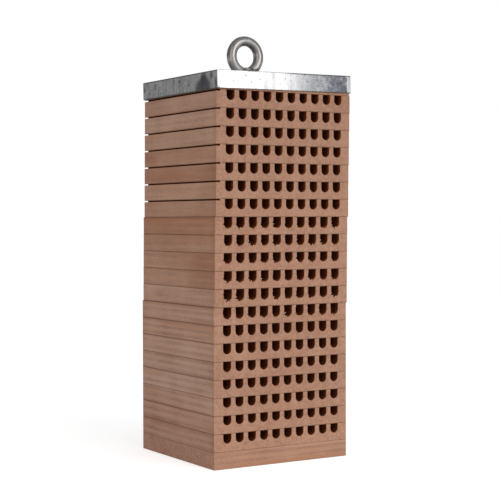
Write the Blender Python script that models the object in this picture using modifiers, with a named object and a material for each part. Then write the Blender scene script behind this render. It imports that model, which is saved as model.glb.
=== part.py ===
"""Insect hotel: a clamped stack of grooved nesting boards under a folded metal roof, with an eye to hang it by.

Metres, +Z up. The origin is on the floor under the middle of the object's box, and the nesting holes face -Y.
"""
import math

import bmesh
import bpy
from mathutils import Matrix, Vector

# Boards
BOARD_COUNT = 20             # grooved boards, number 1 at the top
BOARD_THICKNESS = 0.0177     # also the lid board's
BASE_WEB = 0.0045            # wood left above the nut recess in the base board
CONTACT_GAP = 0.0003         # between pieces that rest on each other

# Nesting grooves, milled in the top face of each board from the front
GROOVE_COUNT = 10
GROOVE_PITCH = 0.0144
GROOVE_WIDTH = 0.0092        # also the diameter of the round bottom
GROOVE_DEPTH = 0.0099
GROOVE_LENGTH = 0.143
GROOVE_ARC_STEPS = 5
SIDE_MARGIN = 0.0106         # wood outside the first and the last groove
BACK_WALL = 0.012            # wood behind the closed end of the grooves

# Rebate along the top left edge of the upper boards
REBATED_BOARDS = 7
REBATE_HEIGHT = 0.0010
REBATE_WIDTH = 0.0043

# The stack is not quite plumb: each tier is set over to the right and to the front of the one below it
UPPER_TIER_ENDS = (7, 12)    # lowest board of each upper tier
TIER_STEP = 0.0006
BOARD_STEP = 0.0001          # small set-over of each board inside the upper tiers

# Folded roof: it sits a little turned on the stack, and its right side a little high
ROOF_SHEET = 0.0007
ROOF_SIDE_GAP = 0.0005       # between the rim and the lid board
ROOF_RIM_LIFT = 0.0004       # height of the rim's lower edge above the lid board's underside, at the left
ROOF_INNER_FOLD = 0.0003     # inner radius of the folds
ROOF_TURN = math.radians(0.7)
ROOF_TILT = math.radians(0.8)

# Tie rod and its fittings
ROD_DIAMETER = 0.010
ROD_CHAMFER = 0.0008
ROD_WOOD_CLEARANCE = 0.0005  # radial
ROD_THREAD_CLEARANCE = 0.0003
ROD_FLOOR_CLEARANCE = 0.0012
ROD_BELOW_NUT = 0.0006
ROD_BELOW_BOSS = 0.0005      # how far the rod's top stays under the top of the eye's boss
NUT_WALL = 0.0032            # from the thread to the flats
NUT_HEIGHT = 0.0084
WASHER_WALL = 0.0047
WASHER_THICKNESS = 0.002
RECESS_CLEARANCE = 0.004     # radial, room for a socket round the washer

# Eye nut
EYE_RING_RADIUS = 0.0167     # to the middle of the bar
EYE_BAR_RADIUS = 0.00505
EYE_RING_LIFT = 0.0018       # height of the ring's lowest point above the collar's seat
EYE_BOSS_WALL = 0.0032       # from the thread to the outside of the boss
EYE_BOSS_SINK = 0.0008       # how far the boss stays under the ring's inner side
EYE_COLLAR_WIDTH = 0.0040    # how far the collar stands out from the boss
EYE_COLLAR_HEIGHT = 0.0050
EYE_NECK_RISE = 0.0030       # height of the slope between the collar and the boss
EYE_RING_STEPS = 36
EYE_BAR_STEPS = 12

ROUND_STEPS = 24
FOLD_STEPS = 2
OVERCUT = 0.002              # how far a cutter runs past the face it cuts
WELD_DISTANCE = 0.000001
SMOOTH_ANGLE = math.radians(40)
HEXAGON_HALF_CORNER = math.radians(30)

# Rod, nuts and washer
ROD_RADIUS = ROD_DIAMETER / 2
WOOD_BORE_RADIUS = ROD_RADIUS + ROD_WOOD_CLEARANCE
THREAD_BORE_RADIUS = ROD_RADIUS + ROD_THREAD_CLEARANCE
NUT_HALF_FLATS = THREAD_BORE_RADIUS + NUT_WALL
WASHER_RADIUS = THREAD_BORE_RADIUS + WASHER_WALL
NUT_BOTTOM = ROD_FLOOR_CLEARANCE + ROD_BELOW_NUT
NUT_TOP = NUT_BOTTOM + NUT_HEIGHT
WASHER_BOTTOM = NUT_TOP + CONTACT_GAP
WASHER_TOP = WASHER_BOTTOM + WASHER_THICKNESS
RECESS_DEPTH = WASHER_TOP + CONTACT_GAP
RECESS_RADIUS = WASHER_RADIUS + RECESS_CLEARANCE

# Board outline and the heights of the stack
BOARD_WIDTH = (GROOVE_COUNT - 1) * GROOVE_PITCH + GROOVE_WIDTH + 2 * SIDE_MARGIN
BOARD_DEPTH = GROOVE_LENGTH + BACK_WALL
HALF_WIDTH = BOARD_WIDTH / 2
HALF_DEPTH = BOARD_DEPTH / 2
BASE_THICKNESS = RECESS_DEPTH + BASE_WEB
BOARD_PITCH = BOARD_THICKNESS + CONTACT_GAP
STACK_TOP = BASE_THICKNESS + BOARD_COUNT * BOARD_PITCH
LID_BOTTOM = STACK_TOP + CONTACT_GAP
ROOF_EDGE = LID_BOTTOM + BOARD_THICKNESS + CONTACT_GAP + ROOF_SHEET
ROOF_RIM_HEIGHT = ROOF_EDGE - LID_BOTTOM - ROOF_RIM_LIFT
ROOF_OVERHANG = ROOF_SIDE_GAP + ROOF_SHEET
ROOF_HALF_WIDTH = HALF_WIDTH + ROOF_OVERHANG
ROOF_HALF_DEPTH = HALF_DEPTH + ROOF_OVERHANG
ROOF_TOP = ROOF_EDGE + ROOF_HALF_WIDTH * math.sin(ROOF_TILT)    # at its middle

# Eye nut
EYE_BOSS_RADIUS = THREAD_BORE_RADIUS + EYE_BOSS_WALL
EYE_COLLAR_RADIUS = EYE_BOSS_RADIUS + EYE_COLLAR_WIDTH
EYE_SEAT = ROOF_TOP + EYE_COLLAR_RADIUS * math.tan(ROOF_TILT) + CONTACT_GAP
EYE_CENTRE_Z = EYE_SEAT + EYE_RING_LIFT + EYE_BAR_RADIUS + EYE_RING_RADIUS
EYE_INNER_BOTTOM = EYE_CENTRE_Z - EYE_RING_RADIUS + EYE_BAR_RADIUS
EYE_BOSS_TOP = EYE_INNER_BOTTOM - EYE_BOSS_SINK
ROD_TOP = EYE_BOSS_TOP - ROD_BELOW_BOSS


def set_over(board):
    """Distance that a board stands over to the right, and as much to the front, of the base board."""
    tiers = sum(1 for lowest in UPPER_TIER_ENDS if board <= lowest)
    boards = max(0, max(UPPER_TIER_ENDS) + 1 - board)
    return TIER_STEP * tiers + BOARD_STEP * boards


def centre_shift(half_board, half_roof, half_across, swing):
    """How far the middle of the whole object's box lies from the base board's middle, along one side."""
    turned_half = half_roof * math.cos(ROOF_TURN) + half_across * math.sin(ROOF_TURN)
    far_side = max(half_board, ROOF_SET_OVER + turned_half + swing)
    near_side = max(half_board, turned_half - ROOF_SET_OVER)
    return (far_side - near_side) / 2


ROOF_SET_OVER = set_over(1)
RIM_SWING = ROOF_RIM_HEIGHT * math.sin(ROOF_TILT)
SHIFT_X = centre_shift(HALF_WIDTH, ROOF_HALF_WIDTH, ROOF_HALF_DEPTH, RIM_SWING)
SHIFT_Y = centre_shift(HALF_DEPTH, ROOF_HALF_DEPTH, ROOF_HALF_WIDTH, 0)
ROD_AXIS = Vector((ROOF_SET_OVER - SHIFT_X, SHIFT_Y - ROOF_SET_OVER, 0))

WOOD = (0.60, 0.40, 0.30)
WOOD_BASE = (0.58, 0.38, 0.28)
GALVANISED = (0.62, 0.63, 0.66)
STAINLESS = (0.55, 0.54, 0.52)
ZINC_PLATED = (0.60, 0.60, 0.58)


def material(name, colour, roughness, metallic):
    mat = bpy.data.materials.new(name)
    mat.use_nodes = True
    shader = mat.node_tree.nodes["Principled BSDF"]
    shader.inputs["Base Color"].default_value = (*colour, 1)
    shader.inputs["Roughness"].default_value = roughness
    shader.inputs["Metallic"].default_value = metallic
    return mat


def new_object(name, mesh, collection, location=(0, 0, 0), mat=None):
    obj = bpy.data.objects.new(name, mesh)
    obj.location = location
    collection.objects.link(obj)
    if mat:
        obj.data.materials.clear()
        obj.data.materials.append(mat)
    return obj


def mark_cutter(obj):
    obj.hide_render = True
    obj.display_type = 'WIRE'
    return obj


def box_mesh(name, low, high):
    mesh = bpy.data.meshes.new(name)
    bm = bmesh.new()
    low, high = Vector(low), Vector(high)
    middle = Matrix.Translation((low + high) / 2)
    size = Matrix.Diagonal((*(high - low), 1))
    bmesh.ops.create_cube(bm, size=1, matrix=middle @ size)
    bm.to_mesh(mesh)
    bm.free()
    return mesh


def cylinder_mesh(name, radius, bottom, top, steps=ROUND_STEPS):
    mesh = bpy.data.meshes.new(name)
    bm = bmesh.new()
    middle = Matrix.Translation((0, 0, (bottom + top) / 2))
    bmesh.ops.create_cone(bm, cap_ends=True, segments=steps, radius1=radius, radius2=radius,
                          depth=top - bottom, matrix=middle)
    bm.to_mesh(mesh)
    bm.free()
    return mesh


def turned(name, profile, collection, location, mat=None):
    """A turned piece: a profile in the XZ half plane, from its top centre down its outer side."""
    mesh = bpy.data.meshes.new(name)
    points = [(radius, 0, height) for radius, height in profile]
    mesh.from_pydata(points, [(i, i + 1) for i in range(len(points) - 1)], [])
    obj = new_object(name, mesh, collection, location, mat)
    screw = obj.modifiers.new("turn", 'SCREW')
    screw.steps = ROUND_STEPS
    screw.render_steps = ROUND_STEPS
    screw.use_merge_vertices = True
    screw.merge_threshold = WELD_DISTANCE
    screw.use_smooth_shade = True
    return obj


def boolean(obj, operation, cutter):
    modifier = obj.modifiers.new(operation.lower(), 'BOOLEAN')
    modifier.operation = operation
    modifier.solver = 'EXACT'
    modifier.object = cutter


def shade_round(obj):
    obj.data.shade_smooth()
    obj.data.set_sharp_from_angle(angle=SMOOTH_ANGLE)


def evaluated_mesh(obj, name):
    """The object's mesh with its modifiers applied and its loose caps welded."""
    graph = bpy.context.evaluated_depsgraph_get()
    mesh = bpy.data.meshes.new_from_object(obj.evaluated_get(graph))
    mesh.name = name
    bm = bmesh.new()
    bm.from_mesh(mesh)
    bmesh.ops.remove_doubles(bm, verts=bm.verts, dist=WELD_DISTANCE)
    bm.to_mesh(mesh)
    bm.free()
    return mesh


def groove_outline(centre):
    """One groove's section: straight sides, half-round bottom, running past the board's top face."""
    radius = GROOVE_WIDTH / 2
    points = [(centre + radius, OVERCUT), (centre - radius, OVERCUT)]
    for step in range(GROOVE_ARC_STEPS + 1):
        angle = math.pi + math.pi * step / GROOVE_ARC_STEPS
        points.append((centre + radius * math.cos(angle), radius - GROOVE_DEPTH + radius * math.sin(angle)))
    return points


def groove_centre(index):
    return (index - (GROOVE_COUNT - 1) / 2) * GROOVE_PITCH


def groove_cutter(cutters):
    """All the grooves of one board, under the plane of its top face at z = 0."""
    length = GROOVE_LENGTH + OVERCUT
    curve = bpy.data.curves.new("groove_outline", 'CURVE')
    curve.dimensions = '2D'
    curve.fill_mode = 'BOTH'
    curve.extrude = length / 2
    for index in range(GROOVE_COUNT):
        points = groove_outline(groove_centre(index))
        spline = curve.splines.new('POLY')
        spline.points.add(len(points) - 1)
        for point, (x, y) in zip(spline.points, points):
            point.co = (x, y, 0, 1)
        spline.use_cyclic_u = True
    outline = new_object("groove_outline", curve, cutters)
    outline.rotation_euler = (math.pi / 2, 0, 0)
    outline.location = (0, length / 2 - OVERCUT - HALF_DEPTH, 0)
    bpy.context.view_layer.update()
    cutter = new_object("groove_cutter", evaluated_mesh(outline, "groove_cutter"), cutters)
    cutter.matrix_world = outline.matrix_world.copy()
    bpy.data.objects.remove(outline)
    return mark_cutter(cutter)


def grooved_mesh(name, rebated, grooves, cutters):
    """Mesh of one nesting board about its middle, with its top face at z = 0."""
    blank_mesh = box_mesh(name, (-HALF_WIDTH, -HALF_DEPTH, -BOARD_THICKNESS), (HALF_WIDTH, HALF_DEPTH, 0))
    blank = new_object(name, blank_mesh, cutters)
    boolean(blank, 'DIFFERENCE', grooves)
    if rebated:
        low = (-HALF_WIDTH - OVERCUT, -HALF_DEPTH - OVERCUT, -REBATE_HEIGHT)
        high = (REBATE_WIDTH - HALF_WIDTH, HALF_DEPTH + OVERCUT, OVERCUT)
        rebate = mark_cutter(new_object("rebate_cutter", box_mesh("rebate_cutter", low, high), cutters))
        boolean(blank, 'DIFFERENCE', rebate)
    bpy.context.view_layer.update()
    mesh = evaluated_mesh(blank, name)
    bpy.data.objects.remove(blank)
    return mesh


def stack_place(distance, height):
    """Place of a piece's middle, for how far it stands over to the right and to the front."""
    return (distance - SHIFT_X, SHIFT_Y - distance, height)


def make_boards(parts, cutters, bore, mat):
    grooves = groove_cutter(cutters)
    rebated = grooved_mesh("rebated_board", True, grooves, cutters)
    plain = grooved_mesh("plain_board", False, grooves, cutters)
    for number in range(1, BOARD_COUNT + 1):
        mesh = rebated if number <= REBATED_BOARDS else plain
        top = STACK_TOP - (number - 1) * BOARD_PITCH
        place = stack_place(set_over(number), top)
        board = new_object(f"nest_board_{number:02d}", mesh, parts, place, mat)
        boolean(board, 'DIFFERENCE', bore)


def make_base(parts, cutters, bore, mat):
    mesh = box_mesh("base_board", (-HALF_WIDTH, -HALF_DEPTH, 0), (HALF_WIDTH, HALF_DEPTH, BASE_THICKNESS))
    base = new_object("base_board", mesh, parts, stack_place(0, 0), mat)
    recess_mesh = cylinder_mesh("recess_cutter", RECESS_RADIUS, -OVERCUT, RECESS_DEPTH)
    recess = mark_cutter(new_object("recess_cutter", recess_mesh, cutters, ROD_AXIS))
    boolean(base, 'DIFFERENCE', recess)
    boolean(base, 'DIFFERENCE', bore)


def make_lid(parts, bore, mat):
    mesh = box_mesh("lid_board", (-HALF_WIDTH, -HALF_DEPTH, 0), (HALF_WIDTH, HALF_DEPTH, BOARD_THICKNESS))
    lid = new_object("lid_board", mesh, parts, stack_place(ROOF_SET_OVER, LID_BOTTOM), mat)
    lid.rotation_euler = (0, 0, ROOF_TURN)
    boolean(lid, 'DIFFERENCE', bore)


def make_roof(parts, bore, mat):
    """The outside of the cap as an open surface, given its sheet thickness inwards."""
    low = (-ROOF_HALF_WIDTH, -ROOF_HALF_DEPTH, -ROOF_RIM_HEIGHT)
    mesh = box_mesh("roof_cap", low, (ROOF_HALF_WIDTH, ROOF_HALF_DEPTH, 0))
    bm = bmesh.new()
    bm.from_mesh(mesh)
    underside = min(bm.faces, key=lambda face: face.calc_center_median().z)
    bmesh.ops.delete(bm, geom=[underside], context='FACES_ONLY')
    top = max(bm.faces, key=lambda face: face.calc_center_median().z)
    bmesh.ops.bevel(bm, geom=list(top.edges), offset=ROOF_INNER_FOLD + ROOF_SHEET, segments=FOLD_STEPS,
                    profile=0.5, affect='EDGES')
    bm.to_mesh(mesh)
    bm.free()
    roof = new_object("roof_cap", mesh, parts, stack_place(ROOF_SET_OVER, ROOF_TOP), mat)
    roof.rotation_euler = (0, -ROOF_TILT, ROOF_TURN)
    sheet = roof.modifiers.new("sheet", 'SOLIDIFY')
    sheet.thickness = ROOF_SHEET
    sheet.offset = -1
    sheet.use_even_offset = True
    boolean(roof, 'DIFFERENCE', bore)


def make_eye(parts, cutters, mat):
    profile = [(0, EYE_BOSS_TOP), (EYE_BOSS_RADIUS, EYE_BOSS_TOP),
               (EYE_BOSS_RADIUS, EYE_SEAT + EYE_COLLAR_HEIGHT + EYE_NECK_RISE),
               (EYE_COLLAR_RADIUS, EYE_SEAT + EYE_COLLAR_HEIGHT), (EYE_COLLAR_RADIUS, EYE_SEAT), (0, EYE_SEAT)]
    foot = mark_cutter(turned("eye_foot", profile, cutters, ROD_AXIS))
    bpy.ops.mesh.primitive_torus_add(major_radius=EYE_RING_RADIUS, minor_radius=EYE_BAR_RADIUS,
                                     major_segments=EYE_RING_STEPS, minor_segments=EYE_BAR_STEPS)
    eye = bpy.context.object
    eye.name = "eye_nut"
    eye.data.name = "eye_nut"
    eye.rotation_euler = (math.pi / 2, 0, 0)
    eye.location = ROD_AXIS + Vector((0, 0, EYE_CENTRE_Z))
    for collection in eye.users_collection:
        collection.objects.unlink(eye)
    parts.objects.link(eye)
    eye.data.materials.append(mat)
    boolean(eye, 'UNION', foot)
    thread_mesh = cylinder_mesh("eye_thread_cutter", THREAD_BORE_RADIUS, EYE_SEAT - OVERCUT,
                                EYE_INNER_BOTTOM + OVERCUT)
    thread = mark_cutter(new_object("eye_thread_cutter", thread_mesh, cutters, ROD_AXIS))
    boolean(eye, 'DIFFERENCE', thread)
    shade_round(eye)


def make_rod(parts, mat):
    bottom, top = ROD_FLOOR_CLEARANCE, ROD_TOP
    profile = [(0, top), (ROD_RADIUS - ROD_CHAMFER, top), (ROD_RADIUS, top - ROD_CHAMFER),
               (ROD_RADIUS, bottom + ROD_CHAMFER), (ROD_RADIUS - ROD_CHAMFER, bottom), (0, bottom)]
    turned("threaded_rod", profile, parts, ROD_AXIS, mat)


def make_washer(parts, thread_bore, mat):
    mesh = cylinder_mesh("base_washer", WASHER_RADIUS, WASHER_BOTTOM, WASHER_TOP)
    washer = new_object("base_washer", mesh, parts, ROD_AXIS, mat)
    shade_round(washer)
    boolean(washer, 'DIFFERENCE', thread_bore)


def make_nut(parts, cutters, thread_bore, mat):
    """A hexagon nut whose corners are turned off at both ends."""
    corner_radius = NUT_HALF_FLATS / math.cos(HEXAGON_HALF_CORNER)
    corner_drop = (corner_radius - NUT_HALF_FLATS) * math.tan(HEXAGON_HALF_CORNER)
    mesh = cylinder_mesh("base_nut", corner_radius, NUT_BOTTOM, NUT_TOP, steps=6)
    nut = new_object("base_nut", mesh, parts, ROD_AXIS, mat)
    envelope = [(0, NUT_TOP), (NUT_HALF_FLATS, NUT_TOP), (corner_radius, NUT_TOP - corner_drop),
                (corner_radius, NUT_BOTTOM + corner_drop), (NUT_HALF_FLATS, NUT_BOTTOM), (0, NUT_BOTTOM)]
    chamfer = mark_cutter(turned("nut_chamfer_cutter", envelope, cutters, ROD_AXIS))
    boolean(nut, 'INTERSECT', chamfer)
    boolean(nut, 'DIFFERENCE', thread_bore)


def main():
    for obj in list(bpy.data.objects):
        bpy.data.objects.remove(obj)
    parts = bpy.data.collections.new("insect_hotel")
    cutters = bpy.data.collections.new("cutters")
    bpy.context.scene.collection.children.link(parts)
    bpy.context.scene.collection.children.link(cutters)

    bore_mesh = cylinder_mesh("wood_bore_cutter", WOOD_BORE_RADIUS, -OVERCUT, ROOF_TOP + OVERCUT)
    bore = mark_cutter(new_object("wood_bore_cutter", bore_mesh, cutters, ROD_AXIS))
    thread_mesh = cylinder_mesh("thread_cutter", THREAD_BORE_RADIUS, -OVERCUT, BASE_THICKNESS)
    thread_bore = mark_cutter(new_object("thread_cutter", thread_mesh, cutters, ROD_AXIS))

    make_boards(parts, cutters, bore, material("nest_board_wood", WOOD, 0.7, 0))
    make_base(parts, cutters, bore, material("base_board_wood", WOOD_BASE, 0.7, 0))
    make_lid(parts, bore, material("lid_board_wood", WOOD, 0.7, 0))
    make_roof(parts, bore, material("roof_sheet", GALVANISED, 0.3, 1))
    make_eye(parts, cutters, material("eye_steel", STAINLESS, 0.3, 1))
    make_rod(parts, material("rod_steel", ZINC_PLATED, 0.4, 1))
    make_washer(parts, thread_bore, material("washer_steel", ZINC_PLATED, 0.4, 1))
    make_nut(parts, cutters, thread_bore, material("nut_steel", ZINC_PLATED, 0.4, 1))


main()
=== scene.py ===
"""Looks of the insect hotel: grooved nesting boards, folded roof, lifting eye, floor, light and camera.

Metres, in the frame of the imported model. Each board is rebuilt on its own solid, with torn channel mouths.
"""
import math
import random

import bmesh
import bpy
from mathutils import Matrix, Vector, noise


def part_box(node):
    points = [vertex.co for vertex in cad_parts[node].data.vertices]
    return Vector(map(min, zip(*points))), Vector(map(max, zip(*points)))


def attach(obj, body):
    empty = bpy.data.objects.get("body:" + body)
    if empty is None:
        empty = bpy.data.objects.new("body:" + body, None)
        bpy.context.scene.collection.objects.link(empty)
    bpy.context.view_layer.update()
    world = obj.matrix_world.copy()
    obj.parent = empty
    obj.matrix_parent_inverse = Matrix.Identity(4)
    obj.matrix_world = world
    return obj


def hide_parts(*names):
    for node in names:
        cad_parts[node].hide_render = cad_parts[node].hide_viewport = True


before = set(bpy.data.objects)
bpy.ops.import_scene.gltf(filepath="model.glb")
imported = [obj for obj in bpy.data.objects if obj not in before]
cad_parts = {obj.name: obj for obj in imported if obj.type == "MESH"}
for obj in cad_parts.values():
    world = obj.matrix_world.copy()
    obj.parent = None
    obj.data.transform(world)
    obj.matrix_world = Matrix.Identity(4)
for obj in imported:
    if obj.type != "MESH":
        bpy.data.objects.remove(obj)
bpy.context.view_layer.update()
ROD_LOW, ROD_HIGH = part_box("threaded_rod")
ROD_AXIS = (ROD_LOW + ROD_HIGH) / 2

# Sizes of the solids
GROOVE_COUNT = 10
GROOVE_PITCH = 0.0144
GROOVE_RADIUS = 0.0046
GROOVE_LENGTH = 0.143
REBATED_BOARDS = 7
REBATE_WIDTH = 0.0043
WOOD_BORE_RADIUS = 0.0055
RECESS_RADIUS = 0.0140
RECESS_CEILING = 0.0045       # wood left over the recess in the base
ROOF_HALF_WIDTH = 0.0812
ROOF_HALF_DEPTH = 0.0787
ROOF_SHEET = 0.0007
ROOF_FOLD = 0.0010
ROOF_RIM_HEIGHT = 0.0183
ROOF_TURN = math.radians(0.7)
ROOF_TILT = math.radians(0.8)
LID_HALF_WIDTH = 0.0800
LID_HALF_DEPTH = 0.0775
EYE_RING_RADIUS = 0.0165

# The rest follows the photograph, inside the solids' box
REBATE_HEIGHT = 0.0017
SLOT_LIP = 0.0003             # the edge over a slot comes down this far
JOINT_FILL = 0.00028          # each board comes down this far, so that its joint closes
EYE_BAR_RADIUS = 0.00525
EYE_BAR_HALF_DEPTH = 0.00560
EYE_BOSS_RADIUS = 0.0085
EYE_COLLAR_RADIUS = 0.0125
EYE_BORE_RADIUS = 0.0053
ROOF_CORNER = 0.0006
SHEET_WAVE = 0.00011

# Small rounded edges of the boards, and the grid that their faces are built on
EDGE_SIDE = 0.00020
EDGE_JOINT = 0.00010
EDGE_MOUTH = 0.00012
CORNER_X = 0.00028
CORNER_Z = 0.00012
ARC_STEPS = 30
ROWS_STRAIGHT = 8
RING_OFFSETS = (0.00025, 0.00060, 0.00110)
DEPTH_STATIONS = (0.0009, 0.0019, 0.0045, 0.014, 0.045)
BITE_AT_STATION = (1.0, 0.85, 0.5, 0.15)
DENT_AT_STATION = (0.35, 0.45, 0.4, 0.1)
MARGIN_INNER = 0.0043
PLATE_STEPS = 12

# Points of a mouth, from its upper left to its upper right end
U_LAST = 2 * ROWS_STRAIGHT + ARC_STEPS
MOUTH = range(U_LAST + 1)
SIDE_STEPS = ARC_STEPS // 3
ROW_LAST = ROWS_STRAIGHT + SIDE_STEPS


def show(thing):
    bpy.context.scene.collection.objects.link(thing)


class Shell:
    """Points by name, and faces by the names of their points."""

    def __init__(self):
        self.index = {}
        self.points = []
        self.faces = []
        self.kinds = []    # index of the material of each face

    def put(self, name, x, y, z):
        self.index[name] = len(self.points)
        self.points.append((x, y, z))

    def row(self, k, points):
        """Put a row of points, and give back their names."""
        for j, point in enumerate(points):
            self.put((k, j), *point)
        return [(k, j) for j in range(len(points))]

    def at(self, name):
        return Vector(self.points[self.index[name]])

    def face(self, *names, kind=0):
        self.kinds.append(kind)
        self.faces.append([self.index[name] for name in names])

    def strip(self, one, other, closed=False, kind_between=lambda a, b: 0):
        """Quads between two rows of names."""
        count = len(one)
        for i in range(count if closed else count - 1):
            j = (i + 1) % count
            self.face(one[i], one[j], other[j], other[i], kind=kind_between(one[i], one[j]))

    def tube(self, rows):
        """Closed strips between each row and the next, and from the last one back to the first."""
        for one, other in zip(rows, rows[1:] + rows[:1]):
            self.strip(one, other, closed=True)

    def build(self, name, materials, matrix=None, smooth=math.radians(50)):
        mesh = bpy.data.meshes.new(name)
        mesh.from_pydata(self.points, [], self.faces)
        if matrix:
            mesh.transform(matrix)
        bm = bmesh.new()
        bm.from_mesh(mesh)
        bmesh.ops.recalc_face_normals(bm, faces=bm.faces)
        bm.to_mesh(mesh)
        bm.free()
        mesh.shade_smooth()
        mesh.set_sharp_from_angle(angle=smooth)
        for material in materials:
            mesh.materials.append(material)
        for polygon, kind in zip(mesh.polygons, self.kinds):
            polygon.material_index = kind
        piece = bpy.data.objects.new(name, mesh)
        show(piece)
        return piece


def flat_faces_stay_flat(piece):
    weighted = piece.modifiers.new("flat faces", "WEIGHTED_NORMAL")
    weighted.keep_sharp = True
    weighted.weight = 60


# Node helpers

def plug(tree, socket, value):
    """Link a socket to the input, or write a plain value on it."""
    if isinstance(value, bpy.types.NodeSocket):
        tree.links.new(value, socket)
    else:
        socket.default_value = value


def node(tree, kind, settings=None, **inputs):
    new = tree.nodes.new(kind)
    for key, value in (settings or {}).items():
        setattr(new, key, value)
    for key, value in inputs.items():
        plug(tree, new.inputs[key.replace("_", " ")], value)
    return new


def math_node(tree, operation, *values, clamp=False):
    new = node(tree, "ShaderNodeMath", {"operation": operation, "use_clamp": clamp})
    for socket, value in zip(new.inputs, values):
        plug(tree, socket, value)
    return new.outputs[0]


def plus(tree, *values):
    total = values[0]
    for value in values[1:]:
        total = math_node(tree, "ADD", total, value)
    return total


def times(tree, one, other):
    return math_node(tree, "MULTIPLY", one, other)


def flip(tree, value):
    """1 where the value is 0, and 0 where it is 1."""
    return math_node(tree, "SUBTRACT", 1.0, value)


def swing(tree, value, weight):
    """How far the value is from 0.5, times a weight."""
    return times(tree, math_node(tree, "SUBTRACT", value, 0.5), weight)


def vector_math(tree, operation, one, other):
    new = node(tree, "ShaderNodeVectorMath", {"operation": operation})
    plug(tree, new.inputs[0], one)
    new.inputs[1].default_value = other
    return new.outputs["Value"]


def component(tree, vector, axis):
    return node(tree, "ShaderNodeSeparateXYZ", None, Vector=vector).outputs[axis]


def remap(tree, value, source, target, kind="LINEAR"):
    return node(tree, "ShaderNodeMapRange", {"interpolation_type": kind}, Value=value, From_Min=source[0],
                From_Max=source[1], To_Min=target[0], To_Max=target[1]).outputs[0]


def band(tree, value, low, high):
    """0 below low, 1 above high."""
    return remap(tree, value, (low, high), (0, 1), "SMOOTHSTEP")


def tinted(colour, red, green=None, blue=None):
    """A colour times one factor, or times one for each channel."""
    factors = (red, red if green is None else green, red if blue is None else blue)
    return [min(1, c * factor) for c, factor in zip(colour, factors)]


def mix(tree, factor, one, other):
    new = node(tree, "ShaderNodeMix", {"data_type": "RGBA"})
    plug(tree, new.inputs[0], factor)
    for socket, colour in ((new.inputs[6], one), (new.inputs[7], other)):
        plug(tree, socket, colour if isinstance(colour, bpy.types.NodeSocket) else (*colour, 1))
    return new.outputs[2]


def ramp(tree, value, stops):
    new = node(tree, "ShaderNodeValToRGB", None, Fac=value)
    elements = new.color_ramp.elements
    while len(elements) < len(stops):
        elements.new(0.5)
    for element, (position, colour) in zip(elements, stops):
        element.position = position
        element.color = (*colour, 1)
    return new.outputs[0]


def stretched(tree, place, offset, scale, turn=(0, 0, 0)):
    return node(tree, "ShaderNodeMapping", None, Vector=place, Location=offset, Rotation=turn,
                Scale=scale).outputs[0]


def distance_from(tree, place, centre, stretch):
    """Distance from a centre, with the axes stretched."""
    return vector_math(tree, "DISTANCE", stretched(tree, place, (0, 0, 0), stretch),
                       [a * b for a, b in zip(centre, stretch)])


def fine_noise(tree, place, scale, detail=4, roughness=0.55, distortion=0):
    return node(tree, "ShaderNodeTexNoise", None, Vector=place, Scale=scale, Detail=detail,
                Roughness=roughness, Distortion=distortion).outputs["Fac"]


def waves(tree, place, axis, scale, distortion, detail, detail_scale):
    return node(tree, "ShaderNodeTexWave", {"bands_direction": axis}, Vector=place, Scale=scale,
                Distortion=distortion, Detail=detail, Detail_Scale=detail_scale).outputs["Fac"]


def new_material(name, roughness=0.5, metallic=0.0):
    """A material, its node tree, its shader and the place on the object."""
    material = bpy.data.materials.new(name)
    material.use_nodes = True
    tree = material.node_tree
    shader = tree.nodes["Principled BSDF"]
    shader.inputs["Roughness"].default_value = roughness
    shader.inputs["Metallic"].default_value = metallic
    place = node(tree, "ShaderNodeTexCoord").outputs["Object"]
    return material, tree, shader, place


def connect(tree, shader, colour, relief=None, strength=0.0, distance=0.0, roughness=None):
    """Colour, relief and roughness of a material."""
    plug(tree, shader.inputs["Base Color"], colour)
    if relief:
        bump = node(tree, "ShaderNodeBump", None, Height=relief, Strength=strength, Distance=distance)
        plug(tree, shader.inputs["Normal"], bump.outputs[0])
    if roughness:
        plug(tree, shader.inputs["Roughness"], roughness)


# Woods

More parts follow.
